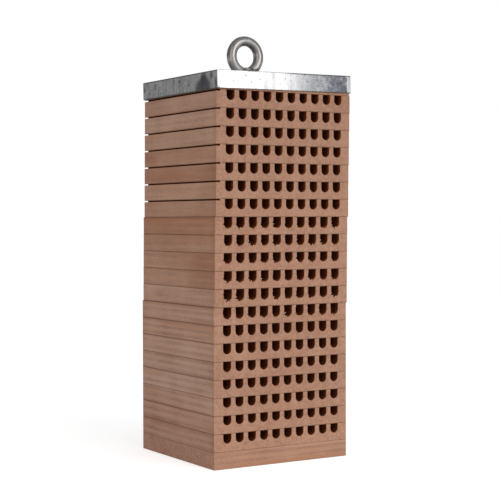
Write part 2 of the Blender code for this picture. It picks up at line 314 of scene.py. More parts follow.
def wood(name, tone, cut, seed, grain="Y", streaks=1.0, slant=0.0, figure=0.2, corners=None,
         bands=(0, 0), smudge=None):
    """Bare planed hardwood. Its grain runs along one axis, and faces across it are in the colour cut.

    streaks, slant and figure are the strength of its streaks, their lean and the strength of its rings.
    With the corners of a board, its joints and front edge are darker, and so are bands of these heights
    along its lower and upper edge. smudge is a stain: centre, radius, strength and colour.
    """
    material, tree, shader, place = new_material(name)
    rng = random.Random(seed)
    offset = Vector([rng.uniform(-3, 3) for _ in range(3)])
    ring_lean = rng.uniform(-0.5, 0.5)
    along_y = grain == "Y"

    def squeeze(ratio):
        """Scales that stretch a pattern along the grain."""
        return (1, ratio, 1) if along_y else (ratio, 1, 1)

    turn = (slant, 0, 0) if along_y else (0, slant, 0)
    long_place = stretched(tree, place, offset, squeeze(0.045), turn)
    short_place = stretched(tree, place, offset, squeeze(0.16), turn)
    ring_place = stretched(tree, place, offset, squeeze(0.05), (slant * 2 if along_y else 0, ring_lean, 0))
    streak = fine_noise(tree, long_place, 190, 3, 0.5, 0.3)
    fibre = fine_noise(tree, long_place, 1500, 3, 0.6)
    cloud = fine_noise(tree, place, 26, 3, 0.5)
    fleck = fine_noise(tree, short_place, 2100, 2, 0.5)
    rings = waves(tree, ring_place, "Z", 44, 3.2, 3, 0.7)

    # Along the grain
    total = plus(tree, swing(tree, streak, 0.75 * streaks), swing(tree, fibre, 0.50 * streaks),
                 swing(tree, cloud, 0.60), swing(tree, rings, 0.8 * figure), swing(tree, fleck, 0.85), 0.5)
    colour = ramp(tree, total, [(0.0, tinted(tone, 0.60, 0.52, 0.48)), (0.5, tone),
                                (1.0, tinted(tone, 1.22, 1.30, 1.36))])
    broad = fine_noise(tree, long_place, 85, 2, 0.5, 0.4)
    warm = plus(tree, swing(tree, rings, figure), swing(tree, broad, 1.6))
    colour = mix(tree, times(tree, band(tree, warm, -0.05, 0.45), 0.75), colour,
                 tinted(tone, 0.96, 0.82, 0.70))
    browner = tinted(tone, 0.62, 0.50, 0.42)
    if corners:
        low, high = corners
        level = component(tree, place, "Z")
        ragged_z = plus(tree, level, swing(tree, streak, 0.006))
        if bands[0]:
            lower = flip(tree, band(tree, ragged_z, low.z, low.z + bands[0]))
            colour = mix(tree, times(tree, lower, 0.5), colour, browner)
        if bands[1]:
            upper = band(tree, ragged_z, high.z - bands[1], high.z)
            colour = mix(tree, times(tree, upper, 0.5), colour, browner)
        ragged_y = plus(tree, component(tree, place, "Y"), swing(tree, cloud, 0.03))
        near = flip(tree, band(tree, ragged_y, low.y, low.y + 0.014))
        colour = mix(tree, times(tree, near, 0.28), colour, browner)
    if smudge:
        centre, radius, strength, stain = smudge
        spot = flip(tree, band(tree, distance_from(tree, place, centre, (1, 0.4, 1)), 0, radius))
        ragged = times(tree, spot, band(tree, streak, 0.25, 0.6))
        colour = mix(tree, times(tree, ragged, strength), colour, stain)

    # Across the grain
    grainy = plus(tree, swing(tree, fine_noise(tree, place, 1000, 3, 0.65), 2.4), swing(tree, cloud, 0.7),
                  swing(tree, fine_noise(tree, place, 300, 3, 0.6), 1.6), 0.5)
    across = ramp(tree, grainy, [(0.0, tinted(cut, 0.76, 0.70, 0.66)), (0.5, cut),
                                 (1.0, tinted(cut, 1.18, 1.25, 1.30))])
    facing = component(tree, node(tree, "ShaderNodeNewGeometry").outputs["Normal"], grain)
    is_end = band(tree, math_node(tree, "ABSOLUTE", facing), 0.55, 0.80)
    colour = mix(tree, is_end, colour, across)

    # Joints and pores, on all faces
    if corners:
        seam = math_node(tree, "MAXIMUM", flip(tree, band(tree, level, low.z + 0.0001, low.z + 0.0005)),
                         band(tree, level, high.z - 0.0005, high.z - 0.0001))
        colour = mix(tree, times(tree, seam, 0.42), colour, tinted(cut, 0.30))
    cells = node(tree, "ShaderNodeTexVoronoi", None, Vector=short_place, Scale=1300)
    pore = flip(tree, band(tree, cells.outputs["Distance"], 0.10, 0.34))
    colour = mix(tree, times(tree, pore, 0.30), colour, tinted(tone, 0.42))

    # Relief, with the planer's ripple across the grain
    ripple = waves(tree, place, grain, 105, 1.1, 1, 0.4)
    relief = plus(tree, times(tree, fibre, 0.7), times(tree, ripple, 0.35), times(tree, pore, -0.6),
                  times(tree, fleck, 0.5))
    connect(tree, shader, colour, relief, 0.35, 0.00012, remap(tree, streak, (0, 1), (0.62, 0.84)))
    shader.inputs["Specular IOR Level"].default_value = 0.16
    return material


def channel(name):
    """Milled wood inside the channels, with painted shade: paler and redder at their mouths, dark a few
    millimetres in, and lighter again further back as painted light.
    """
    material, tree, shader, place = new_material(name, 0.8)
    cloud = fine_noise(tree, place, 420, 4, 0.6)
    fine = fine_noise(tree, stretched(tree, place, (0, 0, 0), (1, 0.2, 1)), 1600, 3, 0.6)
    factor = plus(tree, times(tree, cloud, 0.5), times(tree, fine, 0.5))

    def tones(middle):
        return ramp(tree, factor, [(0.35, tinted(middle, 0.56)), (0.50, middle),
                                   (0.66, tinted(middle, 1.55))])

    # Painted shade by depth from the mouths, then painted light further back
    depth = component(tree, place, "Y")
    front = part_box("nest_board_01")[0].y
    colour = mix(tree, band(tree, depth, front + 0.0002, front + 0.0055), tones((0.262, 0.072, 0.018)),
                 tones((0.115, 0.029, 0.009)))
    colour = mix(tree, band(tree, depth, front + 0.0055, front + 0.0125), colour,
                 tones((0.160, 0.041, 0.013)))
    connect(tree, shader, colour, factor, 0.5, 0.0002)
    shader.inputs["Specular IOR Level"].default_value = 0.05
    return material


def mottled(name, dark, light, scale, detail, roughness, specular):
    """Wood in two tones, for what is too small to show its grain, and for the painted shade in the rebate
    slots.
    """
    material, tree, shader, place = new_material(name, roughness)
    fine = fine_noise(tree, place, scale, detail, 0.6)
    connect(tree, shader, ramp(tree, fine, [(0.35, dark), (0.65, light)]))
    shader.inputs["Specular IOR Level"].default_value = specular
    return material


# Nesting boards

PLAIN, IN_CHANNEL, TORN, IN_SLOT = range(4)    # materials of a board

# Depth of the channels and their shift to the side, by board, as the photograph shows them
GROOVE_DEPTHS = (0.0103, 0.0110, 0.0109, 0.0104, 0.0109, 0.0109, 0.0105, 0.0108, 0.0103, 0.0097,
                 0.0105, 0.0109, 0.0109, 0.0109, 0.0107, 0.0103, 0.0099, 0.0099, 0.0095, 0.0097)
GROOVE_SHIFTS = {1: 0.0010, 2: 0.0006, 3: 0.0005, 4: 0.0003, 7: -0.0003, 13: 0.0004, 17: -0.0003,
                 18: -0.0002}
# How much further to the right some boards reach than their solids
RIGHT_REACH = {1: 0.0009, 2: 0.0007, 3: 0.0005, 4: 0.0004}

# Mouths with torn fibres, by board. The boards from 8 to 13 were cut with a blunt cutter.
BLUNT_BOARDS = range(8, 14)
BADLY_TORN = {8: (0, 1, 4, 5, 9), 9: (1, 2, 4, 7, 8), 10: (0, 3, 4, 6, 7), 11: (0, 1, 2, 3, 7, 9),
              12: (0, 1, 4, 6, 7, 9), 13: (0, 2, 3, 5, 6, 7)}
SLIGHTLY_TORN = {2: (2,), 3: (1, 5), 4: (3, 6), 5: (1,), 6: (3, 7), 14: (0, 2, 6), 15: (0, 2, 5),
                 16: (0, 2), 17: (2, 7)}
BITE_LIMIT = 0.0019
LEFT_TOP, LEFT_LOW, BOTTOM = 1, ROWS_STRAIGHT + 3, U_LAST // 2
RIGHT_LOW = U_LAST - ROWS_STRAIGHT - 4


def channel_x(middle, c):
    return middle + (c - (GROOVE_COUNT - 1) / 2) * GROOVE_PITCH


def outer_name(c, i, s):
    """The point on the border of a channel's cell that belongs to point i of its mouth."""
    if i <= ROW_LAST:
        return ("b", c, i, s)
    if i >= U_LAST - ROW_LAST:
        return ("b", c + 1, U_LAST - i, s)
    return ("o", c, i - ROW_LAST, s)


def inwards(row, z, amount):
    """Height of a row, drawn in at the upper and at the lower edge."""
    return z - amount if row == 0 else z + amount if row == ROW_LAST else z


def board_points(shell, low, high, chip, rebated, over_slot, groove_depth, middle):
    """Outlines of one board's section at each depth, front to back, and the depth where its channels end.

    Points u are on the channels, r round their mouths, b between and o under them. L and R are on the
    left and the right side, M and N a little further in, and t and b after L or R its corners.
    """
    top, bottom = high.z, low.z - JOINT_FILL
    slot_lift = -SLOT_LIP if over_slot else 0
    straight = groove_depth - GROOVE_RADIUS
    drops = [0] + [REBATE_HEIGHT + (straight - REBATE_HEIGHT) * j / (ROWS_STRAIGHT - 1)
                   for j in range(ROWS_STRAIGHT)]
    arc_z = top - straight
    row_z = [top - d for d in drops]
    row_z += [arc_z + (bottom - arc_z) * (k + 1) / SIDE_STEPS for k in range(SIDE_STEPS)]
    stations = [low.y, low.y + EDGE_SIDE] + [low.y + d for d in DEPTH_STATIONS]
    stations += [low.y + GROOVE_LENGTH, high.y - EDGE_SIDE, high.y]
    last = len(stations) - 1
    closed = last - 2
    outlines = []
    for s, y in enumerate(stations):
        end = s in (0, last)
        ej = EDGE_JOINT if end else 0
        es = EDGE_SIDE if end else 0
        em = EDGE_MOUTH if s == 0 else 0
        torn = s < len(BITE_AT_STATION)
        bite, dent = (BITE_AT_STATION[s], DENT_AT_STATION[s]) if torn else (0, 0)
        for c in range(GROOVE_COUNT + 1):
            for row, z in enumerate(row_z):
                shell.put(("b", c, row, s), channel_x(middle, c - 0.5), y, inwards(row, z, ej))
        for c in range(GROOVE_COUNT):
            x = channel_x(middle, c)
            for k in range(1, SIDE_STEPS):
                shell.put(("o", c, k, s), x + GROOVE_PITCH * (k / SIDE_STEPS - 0.5), y, bottom + ej)
            for i in MOUTH:
                if i <= ROWS_STRAIGHT:
                    px, pz, dx, dz = x - GROOVE_RADIUS, top - drops[i], -1, 0
                elif i >= U_LAST - ROWS_STRAIGHT:
                    px, pz, dx, dz = x + GROOVE_RADIUS, top - drops[U_LAST - i], 1, 0
                else:
                    angle = math.pi * (1 + (i - ROWS_STRAIGHT) / ARC_STEPS)
                    dx, dz = math.cos(angle), math.sin(angle)
                    px, pz = x + GROOVE_RADIUS * dx, arc_z + GROOVE_RADIUS * dz
                if i in (0, U_LAST):
                    pz -= ej
                broken = chip(c, i)
                out = em + broken * bite
                shell.put(("u", c, i, s), px + dx * out, y + broken * dent, pz + dz * out)
                if s == 0 or i in (0, U_LAST):
                    out = EDGE_MOUTH + broken
                    start = Vector((px + dx * out, y, pz + dz * out))
                    way = shell.at(outer_name(c, i, s)) - start
                    for k, offset in enumerate(RING_OFFSETS):
                        p = start + way * min(0.9, offset / way.length)
                        shell.put(("r", c, k, i, s), p.x, y, p.z)
        for row, z in enumerate(row_z):
            on_step = rebated and row == 1
            side_z = z - CORNER_Z if on_step else inwards(row, z, CORNER_Z)
            if row == ROW_LAST:
                side_z += slot_lift
            shell.put(("L", row, s), low.x + es, y, side_z)
            shell.put(("R", row, s), high.x - es, y, inwards(row, z, CORNER_Z))
            step_x = low.x + REBATE_WIDTH + (es if rebated and row < 2 else 0)
            shell.put(("M", row, s), step_x, y, z - ej if on_step else inwards(row, z, ej))
            shell.put(("N", row, s), high.x - MARGIN_INNER, y, inwards(row, z, ej))
        left_top = top - REBATE_HEIGHT if rebated else top
        shell.put(("Lt", s), low.x + CORNER_X, y, left_top - ej)
        shell.put(("Lb", s), low.x + CORNER_X, y, bottom + ej + slot_lift)
        shell.put(("Rt", s), high.x - CORNER_X, y, top - ej)
        shell.put(("Rb", s), high.x - CORNER_X, y, bottom + ej)

        names = [("L", row, s) for row in range(ROW_LAST, 0 if rebated else -1, -1)] + [("Lt", s)]
        names += [("M", 1, s)] if rebated else []
        names += [("M", 0, s), ("b", 0, 0, s)]
        for c in range(GROOVE_COUNT):
            names += [("r", c, k, 0, s) for k in (2, 1, 0)]
            names += [("u", c, i, s) for i in (MOUTH if s <= closed else (0, U_LAST))]
            names += [("r", c, k, U_LAST, s) for k in (0, 1, 2)] + [("b", c + 1, 0, s)]
        names += [("N", 0, s), ("Rt", s)] + [("R", row, s) for row in range(ROW_LAST + 1)]
        names += [("Rb", s), ("N", ROW_LAST, s), ("b", GROOVE_COUNT, ROW_LAST, s)]
        for c in range(GROOVE_COUNT - 1, -1, -1):
            names += [("o", c, k, s) for k in range(SIDE_STEPS - 1, 0, -1)] + [("b", c, ROW_LAST, s)]
        names += [("M", ROW_LAST, s), ("Lb", s)]
        outlines.append(names)
    return outlines, closed


def board_front(shell, rebated):
    """Rings of faces round the mouths, and the faces beside the first and the last one."""
    for c in range(GROOVE_COUNT):
        rows = [[("u", c, i, 0) for i in MOUTH]]
        rows += [[("r", c, k, i, 0) for i in MOUTH] for k in range(len(RING_OFFSETS))]
        rows += [[outer_name(c, i, 0) for i in MOUTH]]
        for one, other in zip(rows, rows[1:]):
            shell.strip(one, other)
    for side, inner, border in (("L", "M", 0), ("R", "N", GROOVE_COUNT)):
        first = 1 if rebated and side == "L" else 0
        for row in range(ROW_LAST):
            shell.face(("b", border, row, 0), ("b", border, row + 1, 0), (inner, row + 1, 0),
                       (inner, row, 0))
            if row < first:
                continue
            names = [(inner, row, 0), (inner, row + 1, 0)]
            if row == ROW_LAST - 1:
                names.append((side + "b", 0))
            names += [(side, row + 1, 0), (side, row, 0)]
            if row == first:
                names.append((side + "t", 0))
            shell.face(*names)


def splinter(shell, tag, root, tip, width):
    """A sliver of wood still hanging on at an edge."""
    way = (tip - root).normalized()
    across = way.cross(Vector((0, 1, 0))).normalized() * width
    deep = Vector((0, width * 0.9, 0))
    foot = root - way * width
    bend = (root + tip) / 2
    for k, p in enumerate((foot + across, foot - across, foot + deep, bend + across * 0.55,
                           bend - across * 0.5, bend + deep * 0.5, tip)):
        shell.put((tag, k), *p)
    shell.face((tag, 0), (tag, 1), (tag, 2), kind=TORN)
    for a, b in ((0, 1), (1, 2), (2, 0)):
        shell.face((tag, a), (tag, b), (tag, b + 3), (tag, a + 3), kind=TORN)
        shell.face((tag, a + 3), (tag, b + 3), (tag, 6), kind=TORN)


def chips_of(number, rng):
    """How far the wood is broken out at each point of each mouth, and where slivers still hang on."""
    blunt = number in BLUNT_BOARDS
    bites = {}
    slivers = []
    for c in range(GROOVE_COUNT):
        bad = c in BADLY_TORN.get(number, ())
        slight = c in SLIGHTLY_TORN.get(number, ())
        for i in MOUTH:
            bites[c, i] = rng.uniform(0, 0.00009 if blunt else 0.00004)
        if blunt:
            height = 0.00145 if bad else 0.00105
            for i in range(LEFT_TOP, RIGHT_LOW):
                if i % 2:
                    reach = 0.45 if i < LEFT_LOW else 1 if i < BOTTOM + 4 else 0.5
                    share = rng.uniform(0.6, 1.0) if rng.random() < 0.45 else rng.uniform(0.0, 0.15)
                    tooth = height * reach * share
                bites[c, i] += tooth * rng.uniform(0.75, 1.0)
            wear_and_painted_light = rng.uniform(0.0003, 0.0007)
            for i in range(LEFT_LOW, RIGHT_LOW):
                level = min(1, (i - LEFT_LOW) / 5, (RIGHT_LOW - i) / 7)
                bites[c, i] += wear_and_painted_light * level * rng.uniform(0.7, 1.1)
        for _ in range(2 if bad else rng.choice((0, 1)) if blunt or slight else 0):
            centre = rng.randint(LEFT_LOW, BOTTOM + 1)
            size = rng.uniform(0.0005, 0.0010) if bad else rng.uniform(0.0002, 0.0005)
            width = rng.uniform(1.2, 2.6)
            for i in range(LEFT_TOP, RIGHT_LOW):
                bites[c, i] += size * max(0.0, 1 - abs(i - centre) / width)
            for _ in range(rng.choice((1, 1, 2)) if bad else rng.choice((0, 0, 1))):
                root = min(max(centre + rng.randint(-2, 3), 3), BOTTOM + 2)
                length = rng.uniform(0.0011, 0.0021) if bad else rng.uniform(0.0006, 0.0013)
                slivers.append((c, root, length))
        if blunt and rng.random() < 0.25:
            slivers.append((c, rng.randint(4, LEFT_LOW + 6), rng.uniform(0.0005, 0.0011)))
    return (lambda c, i: min(bites[c, i], BITE_LIMIT)), slivers


def kind_beside(a, b):
    """Material of the faces that go back from two neighbours of an outline, behind the channels. The rebate
    slot's faces get painted shade.
    """
    return IN_SLOT if (a[0], b[0]) in (("Lt", "M"), ("M", "M"), ("M", "Lb")) else PLAIN


def kind_inside(a, b):
    """The same, as far back as the channels go."""
    if a[0] == b[0] == "u":
        return IN_CHANNEL if a[-1] > 0 else PLAIN
    return kind_beside(a, b)


def make_board(number, materials):
    rng = random.Random(700 + number)
    low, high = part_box(f"nest_board_{number:02d}")
    rebated = number <= REBATED_BOARDS
    chip, slivers = chips_of(number, rng)
    shell = Shell()
    middle = (low.x + high.x) / 2 + GROOVE_SHIFTS.get(number, 0)
    high = high + Vector((RIGHT_REACH.get(number, 0), 0, 0))
    outlines, closed = board_points(shell, low, high, chip, rebated, number < REBATED_BOARDS,
                                    GROOVE_DEPTHS[number - 1], middle)
    board_front(shell, rebated)
    for s in range(len(outlines) - 1):
        if s < closed:
            shell.strip(outlines[s], outlines[s + 1], closed=True, kind_between=kind_inside)
        else:
            row = [name for name in outlines[s] if name[0] != "u" or name[2] in (0, U_LAST)]
            shell.strip(row, outlines[s + 1], closed=True, kind_between=kind_beside)
    for c in range(GROOVE_COUNT):
        shell.face(*[("u", c, i, closed) for i in MOUTH], kind=IN_CHANNEL)
    shell.face(*reversed(outlines[-1]))
    for k, (c, i, length) in enumerate(slivers):
        root = shell.at(("u", c, i, 0))
        aim = Vector((channel_x(middle, c) + rng.uniform(-0.001, 0.003), root.y,
                      root.z + rng.uniform(0.0005, 0.0035)))
        tip = root + (aim - root).normalized() * length + Vector((0, rng.uniform(0, 0.0004), 0))
        splinter(shell, f"splinter_{k}", root, tip, rng.uniform(0.19, 0.27) * length)
    piece = shell.build(f"board_{number:02d}", materials)
    flat_faces_stay_flat(piece)
    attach(piece, "root")
    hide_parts(f"nest_board_{number:02d}")


# Solid boards, the one under the stack and the one inside the roof

def around(centre, radius, angle):
    return centre[0] + radius * math.cos(angle), centre[1] + radius * math.sin(angle)


def between(one, other, t):
    return one[0] + (other[0] - one[0]) * t, one[1] + (other[1] - one[1]) * t


def perimeter(half_x, half_y, inset):
    """Points round a rectangle, with a small gap at each corner."""
    ex, ey = half_x - inset, half_y - inset
    corners = [(ex, -ey), (ex, ey), (-ex, ey), (-ex, -ey)]
    points = []
    for one, other in zip(corners, corners[1:] + corners[:1]):
        cut = EDGE_SIDE / math.dist(one, other)
        points += [between(one, other, cut + (1 - 2 * cut) * j / (PLATE_STEPS - 1))
                   for j in range(PLATE_STEPS)]
    return points


def circle(centre, radius):
    """As many points as a perimeter has, from the same corner on."""
    count = 4 * PLATE_STEPS
    first = math.atan2(-1, 1)
    return [around(centre, radius, first + math.tau * (k - 0.5) / count) for k in range(count)]


def make_plate(name, half_x, half_y, bottom, top, matrix, hole, recess_radius, ceiling, material):
    """A board with a bore from above and a recess from below, up to the ceiling."""
    edge = perimeter(half_x, half_y, 0)
    inset = perimeter(half_x, half_y, EDGE_SIDE)
    bore = circle(hole, WOOD_BORE_RADIUS)
    recess = circle(hole, recess_radius)
    loops = ((recess, bottom), (inset, bottom), (edge, bottom + EDGE_SIDE), (edge, top - EDGE_SIDE),
             (inset, top), (bore, top), (bore, ceiling + 0.00001), (recess, ceiling))
    shell = Shell()
    shell.tube([shell.row(k, [(x, y, z) for x, y in points]) for k, (points, z) in enumerate(loops)])
    piece = shell.build(name, (material,), matrix)
    flat_faces_stay_flat(piece)
    return piece


# Folded sheet roof

ROOF_LOW, ROOF_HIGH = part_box("roof_cap")
ROOF_TOP = ROOF_HIGH.z - (ROOF_HALF_WIDTH - ROOF_FOLD) * math.sin(ROOF_TILT)
ROOF_SIDE_STEPS = 26
ROOF_CORNER_STEPS = 4
RIM_EDGE = 0.00012


def round_box(inset):
    """Points round the cap's plan, its corners rounded, for a line this far inside its outer face."""
    radius = max(RIM_EDGE, ROOF_CORNER - inset)
    ex, ey = ROOF_HALF_WIDTH - inset - radius, ROOF_HALF_DEPTH - inset - radius
    corners = []
    for quarter, centre in enumerate(((ex, -ey), (ex, ey), (-ex, ey), (-ex, -ey))):
        corners.append([around(centre, radius, math.pi / 2 * (quarter - 1 + j / ROOF_CORNER_STEPS))
                        for j in range(ROOF_CORNER_STEPS + 1)])
    points = []
    for corner, after in zip(corners, corners[1:] + corners[:1]):
        points += corner
        points += [between(corner[-1], after[0], j / ROOF_SIDE_STEPS) for j in range(1, ROOF_SIDE_STEPS)]
    return points


def make_roof(material):
    """The cap as one closed sheet: outside down to the rim's edge, and back up inside."""
    def down(t):
        """Height at a share of the rim below the fold."""
        return -ROOF_FOLD - (ROOF_RIM_HEIGHT - ROOF_FOLD) * t

    def fold(radius, inset, z, share):
        """Inset and height at a share of a rounded fold's quarter turn."""
        angle = math.pi / 2 * share
        return inset + radius * (1 - math.sin(angle)), z + radius * (math.cos(angle) - 1)

    # Inset and height of each line of the sheet, where no inset means the edge of its bore
    profile = [(None, 0)] + [(inset, 0) for inset in (0.060, 0.030, 0.012, 0.004)]
    profile += [fold(ROOF_FOLD, 0, 0, share) for share in (0, 0.25, 0.5, 0.75, 1)]
    profile += [(0, down(t)) for t in (0.03, 0.18, 0.35, 0.52, 0.70, 0.85, 0.97)]
    profile += [(0, -ROOF_RIM_HEIGHT + RIM_EDGE), (RIM_EDGE, -ROOF_RIM_HEIGHT),
                (ROOF_SHEET - RIM_EDGE, -ROOF_RIM_HEIGHT), (ROOF_SHEET, -ROOF_RIM_HEIGHT + RIM_EDGE)]
    profile += [(ROOF_SHEET, down(t)) for t in (0.6, 0.3)]
    profile += [fold(ROOF_FOLD - ROOF_SHEET, ROOF_SHEET, -ROOF_SHEET, share) for share in (1, 0.5, 0)]
    profile += [(0.012, -ROOF_SHEET), (0.045, -ROOF_SHEET), (None, -ROOF_SHEET)]

    shell = Shell()
    rows = []
    bore = [around((0, 0), WOOD_BORE_RADIUS, math.atan2(y, x)) for x, y in round_box(0)]
    for k, (inset, z) in enumerate(profile):
        points = []
        for x, y in bore if inset is None else round_box(inset):
            # Slight waves in the sheet, always inwards
            swell = SHEET_WAVE * (1 + noise.noise(Vector((x * 38, y * 38, z * 60 + 7.3))))
            sink = 0
            if z < -ROOF_FOLD * 0.9:
                if abs(abs(x) - ROOF_HALF_WIDTH) < 0.001:
                    x -= math.copysign(swell, x)
                if abs(abs(y) - ROOF_HALF_DEPTH) < 0.001:
                    y -= math.copysign(swell, y)
            elif inset and inset > 0.003:
                sink = 0.6 * swell
            points.append((x, y, z - sink))
        rows.append(shell.row(k, points))
    shell.tube(rows)
    matrix = (Matrix.Translation((ROD_AXIS.x, ROD_AXIS.y, ROOF_TOP)) @ Matrix.Rotation(ROOF_TURN, 4, "Z")
              @ Matrix.Rotation(-ROOF_TILT, 4, "Y"))
    piece = shell.build("roof", (material,), matrix, smooth=math.radians(60))
    flat_faces_stay_flat(piece)
    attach(piece, "root")
    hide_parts("roof_cap")


def zinc(name):
    """Bright sheet with grey specks and stains, and a cloudy patina towards its right end."""
    material, tree, shader, place = new_material(name, metallic=1.0)
    low, high = ROOF_LOW, ROOF_HIGH
    x = component(tree, place, "X")
    cloud = fine_noise(tree, place, 60, 3, 0.5, 0.4)
    mottle = fine_noise(tree, place, 200, 3, 0.6, 0.3)
    fine = fine_noise(tree, place, 620, 2, 0.6)
    drips = fine_noise(tree, stretched(tree, place, (1.3, 0.4, 0.2), (1, 1, 0.16)), 150, 2, 0.5)
    speck_grey = (0.16, 0.16, 0.18)

    # The sheet as it came, with faint streaks
    shade = plus(tree, swing(tree, drips, 1.1), swing(tree, cloud, 0.9), 0.5)
    bright = ramp(tree, shade, [(0.15, (0.46, 0.46, 0.475)), (0.50, (0.64, 0.64, 0.65)),
                                (0.85, (0.76, 0.76, 0.76))])
    # Patina towards the right end. Its last few millimetres keep the bright sheet's colour as a painted
    # highlight along the rounded corner
    patina = plus(tree, swing(tree, mottle, 1.3), swing(tree, cloud, 1.2), swing(tree, fine, 0.7), 0.5)
    dull = ramp(tree, patina, [(0.10, (0.090, 0.097, 0.120)), (0.50, (0.180, 0.186, 0.210)),
                               (0.90, (0.390, 0.390, 0.405))])
    along = plus(tree, x, swing(tree, mottle, 0.050), swing(tree, cloud, 0.030))
    to_right = band(tree, along, low.x + 0.064, low.x + 0.146)
    far_end_highlight = flip(tree, band(tree, plus(tree, x, swing(tree, mottle, 0.006)),
                              high.x - 0.0058, high.x - 0.0046))
    colour = mix(tree, times(tree, to_right, far_end_highlight), bright, dull)
    # Grey specks
    dots = fine_noise(tree, stretched(tree, place, (0.21, 0.77, 0.35), (1, 1, 0.8)), 185, 2, 0.5)
    specks = times(tree, band(tree, dots, 0.61, 0.70), 0.80)
    colour = mix(tree, specks, colour, speck_grey)

    # Stains on the left side: place, height, radius, strength, stretch upwards, raggedness
    for y, up, radius, strength, stretch, ragged in (
            (low.y + 0.0292, 0.0020, 0.0182, 0.90, 1.20, 0.006),
            (low.y + 0.0275, 0.0110, 0.0072, 0.70, 0.90, 0.006),
            (low.y + 0.0100, 0.0135, 0.0036, 0.70, 1.00, 0.010),
            (low.y + 0.0034, 0.0055, 0.0034, 0.95, 0.42, 0.001),
            (low.y + 0.0890, 0.0090, 0.0024, 0.38, 0.12, 0.001),
            (high.y - 0.0030, 0.0110, 0.0040, 0.60, 0.50, 0.010)):
        away = distance_from(tree, place, (low.x, y, low.z + up), (1, 1, stretch))
        spot = flip(tree, band(tree, plus(tree, away, swing(tree, drips, ragged)), radius * 0.55, radius))
        colour = mix(tree, times(tree, spot, strength), colour, (0.12, 0.12, 0.145))

    # Painted shade, with some dirt, along the cut edge, and a dark line along parts of the fold. The sheet
    # rises towards the right.
    above = plus(tree, component(tree, place, "Z"), times(tree, x, -math.tan(ROOF_TILT)))
    rim_z = ROOF_TOP - ROOF_RIM_HEIGHT
    cut_edge_shade_and_dirt = flip(tree, band(tree, above, rim_z + 0.0004, rim_z + 0.0011))
    colour = mix(tree, times(tree, cut_edge_shade_and_dirt, 0.90), colour, (0.085, 0.085, 0.075))
    fold = band(tree, above, ROOF_TOP - 0.0018, ROOF_TOP - 0.0010)
    dull_part = plus(tree, band(tree, x, low.x + 0.075, low.x + 0.095),
                     flip(tree, band(tree, x, low.x + 0.0015, low.x + 0.0025)))
    fold = times(tree, fold, dull_part)
    colour = mix(tree, times(tree, fold, 0.75), colour, (0.10, 0.10, 0.11))

    # Weathered and duller on top
    upward = component(tree, node(tree, "ShaderNodeNewGeometry").outputs["Normal"], "Z")
    on_top = band(tree, upward, 0.80, 0.97)
    weathered = ramp(tree, patina, [(0.10, (0.45, 0.455, 0.47)), (0.50, (0.61, 0.615, 0.625)),
                                    (0.90, (0.74, 0.74, 0.745))])
    colour = mix(tree, on_top, colour, mix(tree, times(tree, specks, 0.4), weathered, speck_grey))
    rough = plus(tree, remap(tree, mottle, (0.3, 0.7), (0.20, 0.30)), times(tree, on_top, 0.32))
    connect(tree, shader, colour, fine_noise(tree, place, 90, 1, 0.4), 0.20, 0.0003, rough)
    return material


# Lifting eye

EYE_LOW, EYE_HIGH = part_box("eye_nut")
RING_MIDDLE = EYE_HIGH.z - EYE_BAR_RADIUS - EYE_RING_RADIUS
FOOT_STEPS = 72
SKIN_VOXEL = 0.00042
FORGING_WAVE = 0.00005
PAINTED_SHADE_SIDE = (0.853, -0.522, 0)    # where the dark side of the foot faces


def apply_modifiers(piece):
    graph = bpy.context.evaluated_depsgraph_get()
    mesh = bpy.data.meshes.new_from_object(piece.evaluated_get(graph))
    piece.modifiers.clear()
    piece.data = mesh


